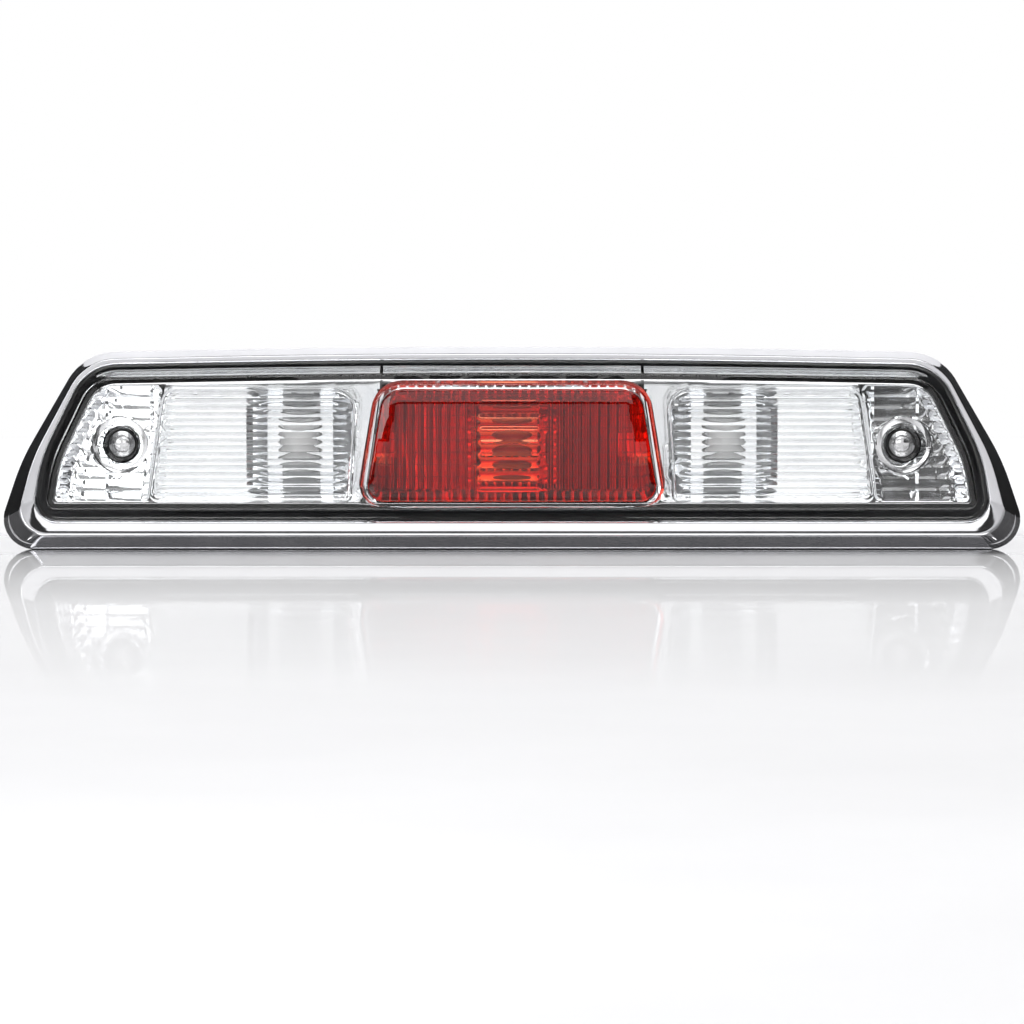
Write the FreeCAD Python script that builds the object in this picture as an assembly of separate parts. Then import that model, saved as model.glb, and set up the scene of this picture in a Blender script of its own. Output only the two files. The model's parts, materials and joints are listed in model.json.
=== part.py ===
import FreeCAD, Part
import math
import os

# Third brake light with a cargo light on each side, in millimetres.
# +X is to the right seen from the front, -Y is the way the lens faces and +Z is up.
# The origin lies on the mounting plane, midway between the two screw axes.

V = FreeCAD.Vector
RIGHT = V(1, 0, 0)
BACK = V(0, 1, 0)
UP = V(0, 0, 1)

# Outlines: right-hand corners (x, z) from the foot up, then the crown's apex, with the corner radii
BEZEL_OUTLINE = [(205.2, -42.0), (193.1, -6.5), (168.5, 35.7), (0.0, 39.2)]
BEZEL_RADII = [12.0, 90.0, 22.0, 6000.0]
LENS_OUTLINE = [(187.6, -29.6), (183.6, -4.9), (166.3, 30.6), (0.0, 33.5)]
LENS_RADII = [8.0, 60.0, 19.0, 6000.0]

# Bezel's section from flange to lens: (share of the way from its own outline to the lens's, depth)
BEZEL_SECTION = [(0.0, -0.5), (0.0, -2.8), (0.06, -3.8), (0.14, -5.0), (0.47, -10.1), (0.52, -10.5),
                 (0.58, -10.5), (0.90, -10.2), (0.95, -9.5), (0.96, -8.0)]
BEZEL_LIP = 2.2

# Housing's front plate, and the gasket and the groove for the lens seal on it
PLATE_FRONT = -5.5
PLATE_BACK = -3.0
PLATE_INSET = 2.6
GASKET_INSET = 3.4
GASKET_GAP = 1.0
GROOVE_MARGIN = 0.3
GROOVE_DEPTH = 1.2
WALL = 2.5

# Bowl that goes through the cab's opening, and its vent
BOWL_MOUTH = [(144.0, -27.0), (144.0, 27.0), (-144.0, 27.0), (-144.0, -27.0)]
BOWL_RADIUS = 10.0
BOWL_BACK = 28.5
BOWL_DRAFT = 5.0
VENT_X = 42.0
VENT_Z = -6.0
NIPPLE_R = 3.2
NIPPLE_BORE_R = 1.5
NIPPLE_H = 6.0
CAP_R = 5.2
CAP_END = 9.0

# Lens
LENS_FACE_Y = -22.0
LENS_WALL = 2.2
LENS_EDGE = 2.0
FACE_INSET = 5.2

# Mounting screws
SCREW_X = 153.0
THREAD_R = 2.4
THREAD_START = 0.3
THREAD_END = 20.0
THREAD_TIP = 2.0
SHOULDER_R = 2.6
HEAD_R = 5.1
HEAD_H = 3.6
HEAD_EDGE = 1.4
HEAD_DOME_R = 8.0
HEAD_SEAT = -9.0
RECESS_HALF = 2.6
RECESS_W = 1.1
RECESS_DEPTH = 2.0
WASHER_T = 1.2
WASHER_R = 5.8
SLEEVE_R = 3.3
BORE_GAP = 0.1
WELL_R = 6.5
WELL_WALL = 1.8
WELL_MOUTH_R = 9.8
WELL_MOUTH_DEPTH = 1.2
WELL_TAPER = 1.0
WELL_TAPER_END = 5.0
WELL_FLOOR = -7.8

# Plated reflectors: inner outlines of the three bulb chambers' pans, outer outline of an end pan
LAMP_X = 84.0
CHAMBER_LOW = -22.0
CHAMBER_HIGH = 23.6
WINDOW_ROOM = [(59.2, CHAMBER_LOW), (140.0, CHAMBER_LOW), (134.6, CHAMBER_HIGH), (52.6, CHAMBER_HIGH)]
WINDOW_ROOM_RADII = [3.0, 3.0, 3.0, 5.0]
WINDOW_BOWL_W = 44.0
RED_ROOM = [(56.2, CHAMBER_LOW), (49.6, CHAMBER_HIGH), (-49.6, CHAMBER_HIGH), (-56.2, CHAMBER_LOW)]
RED_ROOM_RADII = [3.0, 5.0, 5.0, 3.0]
RED_BOWL_W = 92.0
END_PAN = [(142.0, -22.2), (180.0, -22.2), (177.2, -4.6), (163.2, 23.4), (136.6, 23.4)]
END_PAN_RADII = [3.0, 4.0, 40.0, 12.0, 3.0]
END_PAN_RIM = -13.5
END_PAN_BACK = -5.8
REFLECTOR_T = 1.2
REFLECTOR_RIM = -14.5
FLANGE_INSET = 5.8
FLANGE_GAP = 0.3
FLANGE_BACK = -6.7
FLANGE_LIP_INSET = 3.6
FLANGE_END_X = 162.0
FLANGE_END_LOW = 24.2
REFLECTOR_FLOOR = 4.0
REFLECTOR_TAPER = 1.5
REFLECTOR_BACK = 18.0
REFLECTOR_BOWL = [(0.8, 3.0), (3.5, 10.0), (9.0, REFLECTOR_BACK - REFLECTOR_T)]
REFLECTOR_BOWL_RADIUS = 8.0
BULB_HOLE_R = 8.8

# Red window and the borders of the two clear windows
RED_OUTLINE = [(57.4, -22.0), (50.2, 22.0)]
RED_RADII = [6.0, 9.0]
RED_PROUD = 1.0
RED_DEPTH = 6.8
RED_WALL = 2.2
RED_FACE_T = 2.4
RED_BEVEL = 0.8
RIM_W = 3.4
RIM_FOOT = -24.0
RIM_PROUD = 1.6
RIM_BEVEL = 0.7
WINDOW_OUTLINE = [(62.6, -22.4), (142.6, -22.4), (136.2, 22.6), (59.8, 22.6)]
WINDOW_RADII = [3.0, 4.0, 6.0, 9.0]
BORDER_W = 1.8
BORDER_PROUD = 0.7
BORDER_BEVEL = 0.4

# Twist-lock bulb holders
BARREL_R = 10.42
BARREL_HOLE_R = 10.5
TAB_R = 12.9
TAB_ANGLE = 26.0
NOTCH_R = 13.3
NOTCH_ANGLE = 31.0
TWIST = 45.0
TAB_T = 2.2
TAB_GAP = 0.3
STOP_R = 11.2
STOP_ANGLE = 6.0
STOP_MARGIN = 5.0
HOLDER_FLANGE_R = 14.5
HOLDER_FLANGE_T = 2.2
HOLDER_BODY_R = 9.0
HOLDER_TAIL_R = 5.0
HOLDER_TAIL = 2.0
WING_HALF = 12.5
WING_T = 3.2
WING_DEPTH = 9.0
SOCKET_HALF_H = 3.2
SOCKET_GAP = 0.2
SEAL_GAP = 0.2
SEAL_T = 2.0
SEAL_R = 13.5
HOLDER_FRONT = 20.0
HOLDER_END = 44.0

# Wedge-base bulbs
BULB_R = 7.6
BULB_GLASS = 0.8
BULB_TIP = -10.0
WEDGE_W = 9.8
WEDGE_T = 4.2
WEDGE_END = 33.0
WIRE_R = 0.35
WIRE_X = 3.2
COIL_R = 0.7
COIL_L = 6.0
COIL_BACK = 9.4
CONTACT_X = 2.6
CONTACT_HALF_W = 1.4
CONTACT_T = 0.7

# Wiring on the back
LEAD_R = 2.22
LEAD_BORE_R = 2.3
LEAD_TURN_Y = 52.0
LEAD_RUN_Y = 32.0
HEADER_X = -42.0
HEADER_W = 26.0
HEADER_H = 15.0
HEADER_DEPTH = 17.0
HEADER_WALL = 1.6
HEADER_FLOOR = 6.0
LATCH_HALF = 3.0
LATCH_L = 5.0
LATCH_H = 1.6
BLADE_X = (-7.8, -2.6, 2.6, 7.8)
BLADE_HALF_W = 1.2
BLADE_HALF_T = 0.4
LEAD_RUN_Z = 17.2
LEAD_BEND = 8.0
LEAD_ENTRIES = (-46.5, -37.5)
LEAD_ENTRY_DEPTH = 2.4
BRAKE_TURN = 7.5
CLIP_X = (60.0, 30.0, -21.0)
CLIP_HALF_W = 3.0
CLIP_WALL = 1.2


def corner_arc(before, corner, after, radius):
    """The start, middle and end of the arc that rounds one corner."""
    a = (before - corner).normalize()
    b = (after - corner).normalize()
    half = a.getAngle(b) / 2
    reach = radius / math.tan(half)
    middle = corner + (a + b).normalize() * (radius / math.sin(half) - radius)
    return corner + a * reach, middle, corner + b * reach


def loop(points, radii, y):
    """Closed wire at depth y through the points (x, z), each corner on its own radius."""
    corners = [V(x, y, z) for x, z in points]
    n = len(corners)
    arcs = [corner_arc(corners[i - 1], corners[i], corners[(i + 1) % n], radii[i]) for i in range(n)]
    edges = []
    for i, (start, middle, end) in enumerate(arcs):
        edges.append(Part.Arc(start, middle, end).toShape())
        edges.append(Part.makeLine(end, arcs[(i + 1) % n][0]))
    return Part.Wire(edges)


def mirrored(half, radii):
    """A symmetric outline from its right-hand corners, which end in the apex on the centre line."""
    left = [(-x, z) for x, z in reversed(half[:-1])]
    return half + left, radii + list(reversed(radii[:-1]))


def inset(outline, distance):
    """The outline with every side moved in by a distance."""
    points, radii = outline
    n = len(points)
    moved = []
    for i in range(n):
        x, z = points[i]
        normals = []
        for (x0, z0), (x1, z1) in ((points[i - 1], points[i]), (points[i], points[(i + 1) % n])):
            length = math.hypot(x1 - x0, z1 - z0)
            normals.append(((z0 - z1) / length, (x1 - x0) / length))
        (ax, az), (bx, bz) = normals
        scale = distance / (1 + ax * bx + az * bz)
        moved.append((x + (ax + bx) * scale, z + (az + bz) * scale))
    return moved, [max(r - distance, 0.8) for r in radii]


def blend(first, second, t):
    """The outline a fraction t of the way from the first to the second."""
    points = [(a[0] + (b[0] - a[0]) * t, a[1] + (b[1] - a[1]) * t) for a, b in zip(first[0], second[0])]
    return points, [a + (b - a) * t for a, b in zip(first[1], second[1])]


def stack(rings):
    """Solid through a list of (outline, y) rings, closed by a flat face at each end."""
    wires = [loop(points, radii, y) for (points, radii), y in rings]
    return Part.makeLoft(wires, True, True)


def frame(rings):
    """Ring-shaped solid whose closed section runs through a list of (outline, y) rings."""
    wires = [loop(points, radii, y) for (points, radii), y in rings]
    faces = []
    for i, wire in enumerate(wires):
        faces.extend(Part.makeLoft([wires[i - 1], wire], False, True).Faces)
    shell = Part.makeShell(faces)
    shell.sewShape()
    solid = Part.makeSolid(shell)
    if solid.Volume < 0:
        solid.reverse()
    return solid


def rod(r, x, z, y0, y1):
    """Cylinder along Y."""
    return Part.makeCylinder(r, y1 - y0, V(x, y0, z), BACK)


def cone(r0, r1, x, z, y0, y1):
    """Cone along Y, of radius r0 at y0 and r1 at y1."""
    return Part.makeCone(r0, r1, y1 - y0, V(x, y0, z), BACK)


def box(x0, x1, y0, y1, z0, z1):
    return Part.makeBox(x1 - x0, y1 - y0, z1 - z0, V(x0, y0, z0))


def sector(r0, r1, x, y0, y1, centre, width):
    """Part of a ring about the Y axis through (x, 0), centred on an angle from +X towards +Z."""
    def at(r, turn):
        angle = math.radians(centre + turn)
        return V(x + r * math.cos(angle), y0, r * math.sin(angle))

    half = width / 2
    edges = [Part.Arc(at(r1, -half), at(r1, 0), at(r1, half)).toShape(),
             Part.makeLine(at(r1, half), at(r0, half)),
             Part.Arc(at(r0, half), at(r0, 0), at(r0, -half)).toShape(),
             Part.makeLine(at(r0, -half), at(r1, -half))]
    return Part.Face(Part.Wire(edges)).extrude(BACK * (y1 - y0))


def other_side(shape):
    """The mirror image across the lamp's centre plane."""
    return shape.mirror(V(0, 0, 0), RIGHT)


def joined(shapes):
    """One solid from touching or overlapping shapes."""
    return shapes[0].fuse(shapes[1:]).removeSplitter()


def cut_away(shape, tools):
    for tool in tools:
        shape = shape.cut(tool)
    return shape


def save(name, shape):
    shape.exportStep("parts/" + name + ".step")


def path_tube(points, bend, radius):
    """Round tube along a bent line in space."""
    line = [V(*p) for p in points]
    edges = []
    here = line[0]
    for i in range(1, len(line) - 1):
        start, middle, end = corner_arc(line[i - 1], line[i], line[i + 1], bend)
        edges.append(Part.makeLine(here, start))
        edges.append(Part.Arc(start, middle, end).toShape())
        here = end
    edges.append(Part.makeLine(here, line[-1]))
    circle = Part.Wire([Part.makeCircle(radius, line[0], line[1] - line[0])])
    return Part.Wire(edges).makePipeShell([circle], True, True)


OUTER = mirrored(BEZEL_OUTLINE, BEZEL_RADII)
LENS = mirrored(LENS_OUTLINE, LENS_RADII)
FACE = inset(LENS, FACE_INSET)
WINDOW = (WINDOW_OUTLINE, WINDOW_RADII)
BOWL = (BOWL_MOUTH, [BOWL_RADIUS] * 4)
SCREWS = (-SCREW_X, SCREW_X)
LAMPS = {"brake": 0.0, "cargo_left": -LAMP_X, "cargo_right": LAMP_X}


def red_outline(grow):
    """The red window's outline, grown by a margin all round but no lower than the lens's face."""
    points = RED_OUTLINE + [(-x, z) for x, z in reversed(RED_OUTLINE)]
    radii = RED_RADII + list(reversed(RED_RADII))
    points, radii = inset((points, radii), -grow)
    return [(x, max(z, RIM_FOOT)) for x, z in points], radii


def make_bezel():
    """Chrome trim frame: thin flange, ridge and inner slope down to the lens."""
    section = [(blend(OUTER, LENS, share), y) for share, y in BEZEL_SECTION]
    foot = blend(OUTER, LENS, BEZEL_SECTION[-1][0])
    skirt = inset(OUTER, BEZEL_LIP)
    back = BEZEL_SECTION[0][1]
    return frame(section + [(foot, PLATE_FRONT), (skirt, PLATE_FRONT), (skirt, back)])


def lens_rings(offset):
    """Rings of the lens body, from its foot to the rounded edge of its face, moved in by an offset."""
    rings = [(inset(LENS, offset), PLATE_FRONT)]
    for step in range(4):
        angle = math.radians(30 * step)
        back = LENS_EDGE * (1 - math.sin(angle))
        rings.append((inset(FACE, offset - math.cos(angle)), LENS_FACE_Y + offset + back))
    return rings


def make_lens():
    """Clear lens: hollow body, two screw wells, a raised rim round the red window, two window borders."""
    below = [(inset(LENS, LENS_WALL), PLATE_FRONT + 1)]
    shell = stack(lens_rings(0)).cut(stack(below + lens_rings(LENS_WALL)))
    front = LENS_FACE_Y
    for x in SCREWS:
        tower, well = make_well(x)
        shell = shell.fuse(tower).cut(well).cut(rod(SLEEVE_R + BORE_GAP, x, 0, WELL_FLOOR - 1, 0))
    rim = stack([(red_outline(RIM_W), front + 1.2), (red_outline(RIM_W), front),
                 (red_outline(RIM_W - RIM_BEVEL), front - RIM_PROUD)])
    border = make_border()
    window = stack([(red_outline(0), front - 5), (red_outline(0), front + 5)])
    return shell.fuse([rim, border, other_side(border)]).cut(window).removeSplitter()


def make_well(x):
    """The tower round a mounting screw, and the well inside it: straight mouth, taper, straight wall."""
    front = LENS_FACE_Y
    tower_r = WELL_R + WELL_WALL
    tower = joined([rod(tower_r, x, 0, front + 1.5, PLATE_FRONT),
                    cone(WELL_MOUTH_R + 1.6, tower_r, x, 0, front + 1.5, front + 7)])
    well = joined([rod(WELL_R, x, 0, front - 1, WELL_FLOOR),
                   rod(WELL_MOUTH_R, x, 0, front - 1, front + WELL_MOUTH_DEPTH),
                   cone(WELL_MOUTH_R - WELL_TAPER, WELL_R, x, 0, front + WELL_MOUTH_DEPTH,
                        front + WELL_TAPER_END)])
    return tower, well


def make_border():
    """Raised rib round the right-hand clear window."""
    front = LENS_FACE_Y
    low = front - BORDER_PROUD * 0.3
    high = front - BORDER_PROUD
    far = inset(WINDOW, BORDER_W)
    return frame([(WINDOW, front + 1), (WINDOW, low), (inset(WINDOW, BORDER_BEVEL), high),
                  (inset(WINDOW, BORDER_W - BORDER_BEVEL), high), (far, low), (far, front + 1)])


def make_red_lens():
    """Red centre lens: a cup bonded into the window, a little proud of the rim's foot."""
    front = LENS_FACE_Y - RED_PROUD
    foot = front + RED_DEPTH
    body = stack([(red_outline(0), foot), (red_outline(0), front + RED_BEVEL),
                  (red_outline(-RED_BEVEL), front)])
    hollow = stack([(red_outline(-RED_WALL), foot + 0.2), (red_outline(-RED_WALL), front + RED_FACE_T)])
    return body.cut(hollow)


def make_housing():
    """Rear housing: front plate, bowl, bayonet openings, vent nipple and the groove for the lens seal."""
    plate = stack([(inset(OUTER, PLATE_INSET), PLATE_FRONT), (inset(OUTER, PLATE_INSET), PLATE_BACK)])
    bowl = stack([(BOWL, PLATE_BACK - 1), (BOWL, 0), (inset(BOWL, BOWL_DRAFT), BOWL_BACK)])
    hollow = stack([(inset(BOWL, WALL), PLATE_FRONT - 1), (inset(BOWL, WALL), 0),
                    (inset(BOWL, BOWL_DRAFT + WALL), BOWL_BACK - WALL)])
    shape = joined([plate, bowl]).cut(hollow).cut(make_lens_seal())
    for x in SCREWS:
        shape = shape.cut(rod(SLEEVE_R, x, 0, -10, 5))
    for x in LAMPS.values():
        shape = shape.cut(rod(BARREL_HOLE_R, x, 0, BOWL_BACK - 5, BOWL_BACK + 5))
        for k in range(3):
            notch = sector(9, NOTCH_R, x, BOWL_BACK - 5, BOWL_BACK + 5, 90 + 120 * k, NOTCH_ANGLE)
            shape = shape.cut(notch)
        shape = shape.fuse(twist_stops(x))
    nipple = rod(NIPPLE_R, VENT_X, VENT_Z, BOWL_BACK - 1, BOWL_BACK + NIPPLE_H)
    bore = rod(NIPPLE_BORE_R, VENT_X, VENT_Z, BOWL_BACK - 6, BOWL_BACK + NIPPLE_H + 1)
    return shape.fuse(nipple).cut(bore).removeSplitter()


def twist_stops(x):
    """Two stops inside the bowl's back that end a holder's turn, one at each end of a tab's travel."""
    inner = BOWL_BACK - WALL
    locked = 90 + TWIST + TAB_ANGLE / 2 + STOP_MARGIN
    freed = 90 - TAB_ANGLE / 2 - STOP_MARGIN
    return [sector(STOP_R, TAB_R, x, inner - TAB_T, inner + 0.5, angle, STOP_ANGLE)
            for angle in (locked, freed)]


def make_lens_seal():
    """Bead of sealant that fills the housing's groove under the lens's foot."""
    outer = inset(LENS, -GROOVE_MARGIN)
    inner = inset(LENS, LENS_WALL + GROOVE_MARGIN)
    floor = PLATE_FRONT + GROOVE_DEPTH
    return frame([(outer, PLATE_FRONT), (inner, PLATE_FRONT), (inner, floor), (outer, floor)])


def make_gasket():
    """Foam gasket between the front plate and the cab, open round the bowl."""
    mouth = inset(BOWL, -GASKET_GAP)
    pad = stack([(inset(OUTER, GASKET_INSET), PLATE_BACK), (inset(OUTER, GASKET_INSET), 0)])
    pad = pad.cut(stack([(mouth, -5), (mouth, 5)]))
    for x in SCREWS:
        pad = pad.cut(rod(SLEEVE_R + 0.2, x, 0, -5, 5))
    return pad


def chamber(points, radii, bowl_x, bowl_w):
    """Plated reflector: a rimmed pan with a bowl for the bulb and a hole that the bulb stands in."""
    pan = (points, radii)
    half = bowl_w / 2
    low, high = CHAMBER_LOW + 1, CHAMBER_HIGH - 1
    mouth = ([(bowl_x - half, low), (bowl_x + half, low), (bowl_x + half, high), (bowl_x - half, high)],
             [REFLECTOR_BOWL_RADIUS] * 4)

    def solid(grow, front):
        floor = REFLECTOR_FLOOR + grow
        room = stack([(inset(pan, -grow), front), (inset(pan, REFLECTOR_TAPER - grow), floor)])
        rings = [(inset(mouth, step - grow), y) for step, y in REFLECTOR_BOWL[:-1]]
        step, y = REFLECTOR_BOWL[-1]
        return room.fuse(stack(rings + [(inset(mouth, step - grow), y + grow)]))

    top = [x for x, z in points if z == CHAMBER_HIGH]
    margin = REFLECTOR_T - FLANGE_GAP
    flange = top_flange(min(top) - margin, max(top) + margin, CHAMBER_HIGH - 2)
    if bowl_x:
        flange = flange.fuse(top_flange(max(top), FLANGE_END_X, FLANGE_END_LOW))
    shell = solid(REFLECTOR_T, REFLECTOR_RIM).fuse(flange)
    shell = shell.cut(solid(0, REFLECTOR_RIM - 1))
    return shell.cut(rod(BULB_HOLE_R, bowl_x, 0, 0, 40)).removeSplitter()


def top_flange(x0, x1, low):
    """Stepped flange between two planes, from a pan's upper edge to just inside the lens's top wall."""
    edge = inset(LENS, FLANGE_INSET)
    under = inset(LENS, FLANGE_INSET + REFLECTOR_T)
    lip = inset(LENS, FLANGE_LIP_INSET)
    flange = stack([(edge, REFLECTOR_RIM), (edge, FLANGE_BACK)])
    flange = flange.fuse(stack([(lip, FLANGE_BACK - REFLECTOR_T), (lip, FLANGE_BACK)]))
    flange = flange.cut(stack([(under, REFLECTOR_RIM + REFLECTOR_T), (under, FLANGE_BACK + 1)]))
    return flange.common(box(x0, x1, REFLECTOR_RIM - 1, FLANGE_BACK + 1, low, BEZEL_OUTLINE[-1][1]))


def make_end_reflector():
    """Plated pan behind an end window, open round the screw well."""
    pan = (END_PAN, END_PAN_RADII)
    room = inset(pan, REFLECTOR_T)
    outer = stack([(pan, END_PAN_RIM), (pan, END_PAN_BACK)])
    inner = stack([(room, END_PAN_RIM - 1), (room, END_PAN_BACK - REFLECTOR_T)])
    return outer.cut(inner).cut(rod(WELL_R + WELL_WALL + 0.4, SCREW_X, 0, -30, 0))


def make_screw(x):
    """Pan-head mounting screw with a cross recess; its thread stands out behind the mounting plane."""
    crown = HEAD_SEAT - HEAD_H
    edge = HEAD_SEAT - HEAD_EDGE
    head = rod(HEAD_R, x, 0, edge, HEAD_SEAT)
    ball = Part.makeSphere(HEAD_DOME_R, V(x, crown + HEAD_DOME_R, 0))
    dome = ball.common(rod(HEAD_R, x, 0, crown - 1, edge))
    shoulder = rod(SHOULDER_R, x, 0, HEAD_SEAT, THREAD_START)
    thread = rod(THREAD_R, x, 0, THREAD_START, THREAD_END - THREAD_TIP)
    tip = cone(THREAD_R, THREAD_R / 2, x, 0, THREAD_END - THREAD_TIP, THREAD_END)
    screw = joined([head, dome, shoulder, thread, tip])
    long, short = RECESS_HALF, RECESS_W / 2
    slots = [box(x - dx, x + dx, crown - 1, crown + RECESS_DEPTH, -dz, dz)
             for dx, dz in ((long, short), (short, long))]
    return cut_away(screw, slots)


def make_washer(x):
    ring = rod(WASHER_R, x, 0, HEAD_SEAT, HEAD_SEAT + WASHER_T)
    return ring.cut(rod(SHOULDER_R + BORE_GAP, x, 0, -20, 0))


def make_sleeve(x):
    tube = rod(SLEEVE_R, x, 0, WELL_FLOOR, 0)
    return tube.cut(rod(SHOULDER_R + BORE_GAP, x, 0, -20, 5))


def make_holder(x):
    """Twist-lock bulb holder: barrel with three tabs, sealing flange, grip wings and a bored tail."""
    flange = BOWL_BACK + SEAL_GAP + SEAL_T
    tail = HOLDER_END - HOLDER_TAIL
    parts = [rod(BARREL_R, x, 0, HOLDER_FRONT, flange + 1),
             rod(HOLDER_FLANGE_R, x, 0, flange, flange + HOLDER_FLANGE_T),
             rod(HOLDER_BODY_R, x, 0, flange + 1, tail),
             cone(HOLDER_BODY_R, HOLDER_TAIL_R, x, 0, tail, HOLDER_END),
             box(x - WING_HALF, x + WING_HALF, flange + 2.1, flange + WING_DEPTH, -WING_T / 2, WING_T / 2)]
    inner = BOWL_BACK - WALL - TAB_GAP
    for k in range(3):
        parts.append(sector(9, TAB_R, x, inner - TAB_T, inner, 90 + TWIST + 120 * k, TAB_ANGLE))
    half = WEDGE_W / 2 + SOCKET_GAP
    socket = box(x - half, x + half, HOLDER_FRONT - 1, WEDGE_END + 1, -SOCKET_HALF_H, SOCKET_HALF_H)
    return cut_away(joined(parts), [socket, rod(LEAD_BORE_R, x, 0, WEDGE_END + 4, HOLDER_END + 1)])


def make_holder_seal(x):
    start = BOWL_BACK + SEAL_GAP
    ring = rod(SEAL_R, x, 0, start, start + SEAL_T)
    return ring.cut(rod(BARREL_R, x, 0, start - 1, start + SEAL_T + 1))


def capsule(r, x, y_tip, y_end):
    """Cylinder along Y with a round front end."""
    return rod(r, x, 0, y_tip + r, y_end).fuse(Part.makeSphere(r, V(x, y_tip + r, 0)))


def filament_parts(x):
    """Two support wires and the coil between them."""
    wires = [rod(WIRE_R, x + dx, 0, BULB_TIP + 9, WEDGE_END - 1) for dx in (-WIRE_X, WIRE_X)]
    start = V(x - COIL_L / 2, BULB_TIP + COIL_BACK, 0)
    return wires, Part.makeCylinder(COIL_R, COIL_L, start, RIGHT)


def make_bulb(x):
    """Hollow glass capsule with a flat wedge base."""
    glass = capsule(BULB_R, x, BULB_TIP, HOLDER_FRONT - 0.5)
    glass = glass.cut(capsule(BULB_R - BULB_GLASS, x, BULB_TIP + BULB_GLASS, HOLDER_FRONT - 4))
    base = box(x - WEDGE_W / 2, x + WEDGE_W / 2, HOLDER_FRONT - 0.6, WEDGE_END, -WEDGE_T / 2, WEDGE_T / 2)
    wires, coil = filament_parts(x)
    return cut_away(glass.fuse(base).removeSplitter(), wires)


def make_filament(x):
    wires, coil = filament_parts(x)
    return joined([coil] + wires)


def make_contacts(x):
    """Two brass spring contacts, one on each side of the wedge base."""
    half = WEDGE_T / 2
    shapes = []
    for dx, side in ((-CONTACT_X, 1), (CONTACT_X, -1)):
        low, high = sorted((side * half, side * (half + CONTACT_T)))
        x0, x1 = x + dx - CONTACT_HALF_W, x + dx + CONTACT_HALF_W
        shapes.append(box(x0, x1, HOLDER_FRONT + 1.5, WEDGE_END, low, high))
    return Part.makeCompound(shapes)


def make_header():
    """Connector shroud on the bowl's back, open to the rear, with lead entries on top and at one side."""
    x0, x1 = HEADER_X - HEADER_W / 2, HEADER_X + HEADER_W / 2
    y0, y1 = BOWL_BACK, BOWL_BACK + HEADER_DEPTH
    z, wall = HEADER_H / 2, HEADER_WALL
    shroud = box(x0, x1, y0, y1, -z, z)
    room = box(x0 + wall, x1 - wall, y0 + HEADER_FLOOR, y1 + 1, -z + wall, z - wall)
    left, right = HEADER_X - LATCH_HALF, HEADER_X + LATCH_HALF
    latch = box(left, right, y1 - LATCH_L, y1, -z - LATCH_H, -z + 0.1)
    header = shroud.cut(room).fuse(latch)
    for x in LEAD_ENTRIES:
        header = header.cut(Part.makeCylinder(LEAD_BORE_R, 4, V(x, LEAD_RUN_Y, z - 2.5), UP))
    header = header.cut(Part.makeCylinder(LEAD_BORE_R, 4, V(x1 - 2.5, LEAD_RUN_Y, 0), RIGHT))
    return header.cut(make_terminals()).removeSplitter()


def make_terminals():
    """Four flat blades that stand in the shroud."""
    start, end = BOWL_BACK + 2, BOWL_BACK + HEADER_DEPTH - 4
    blades = []
    for dx in BLADE_X:
        x = HEADER_X + dx
        blades.append(box(x - BLADE_HALF_W, x + BLADE_HALF_W, start, end, -BLADE_HALF_T, BLADE_HALF_T))
    return Part.makeCompound(blades)


def cargo_lead(lamp_x, entry_x):
    """Lead from a cargo light's holder over the top of the bowl's back and down into the header."""
    start = (lamp_x, HOLDER_END - 5, 0)
    rise = [(lamp_x, LEAD_TURN_Y, 0), (lamp_x, LEAD_TURN_Y, LEAD_RUN_Z)]
    run = [(lamp_x, LEAD_RUN_Y, LEAD_RUN_Z), (entry_x, LEAD_RUN_Y, LEAD_RUN_Z)]
    end = (entry_x, LEAD_RUN_Y, HEADER_H / 2 - LEAD_ENTRY_DEPTH)
    return path_tube([start] + rise + run + [end], LEAD_BEND, LEAD_R)


def brake_lead():
    """Lead from the brake light's holder into the header's side."""
    side = HEADER_X + HEADER_W / 2
    turn = side + BRAKE_TURN
    start = (0, HOLDER_END - 5, 0)
    bends = [(0, LEAD_TURN_Y, 0), (turn, LEAD_TURN_Y, 0), (turn, LEAD_RUN_Y, 0)]
    end = (side - LEAD_ENTRY_DEPTH, LEAD_RUN_Y, 0)
    return path_tube([start] + bends + [end], LEAD_BEND, LEAD_R)


def make_clip(x):
    """Harness clip: an arch from the bowl's back over the long lead."""
    y, z = LEAD_RUN_Y, LEAD_RUN_Z
    outside = LEAD_BORE_R + CLIP_WALL
    arch = Part.makeCylinder(outside, 2 * CLIP_HALF_W, V(x - CLIP_HALF_W, y, z), RIGHT)
    foot = box(x - CLIP_HALF_W, x + CLIP_HALF_W, BOWL_BACK, y, z - outside, z + outside)
    bore = Part.makeCylinder(LEAD_BORE_R, 2 * CLIP_HALF_W + 2, V(x - CLIP_HALF_W - 1, y, z), RIGHT)
    return joined([arch, foot]).cut(bore)


def make_vent_cap():
    """Breather cap pushed over the vent nipple."""
    cap = rod(CAP_R, VENT_X, VENT_Z, BOWL_BACK + 1, BOWL_BACK + CAP_END)
    return cap.cut(rod(NIPPLE_R, VENT_X, VENT_Z, BOWL_BACK, BOWL_BACK + NIPPLE_H + 0.5))


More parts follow.
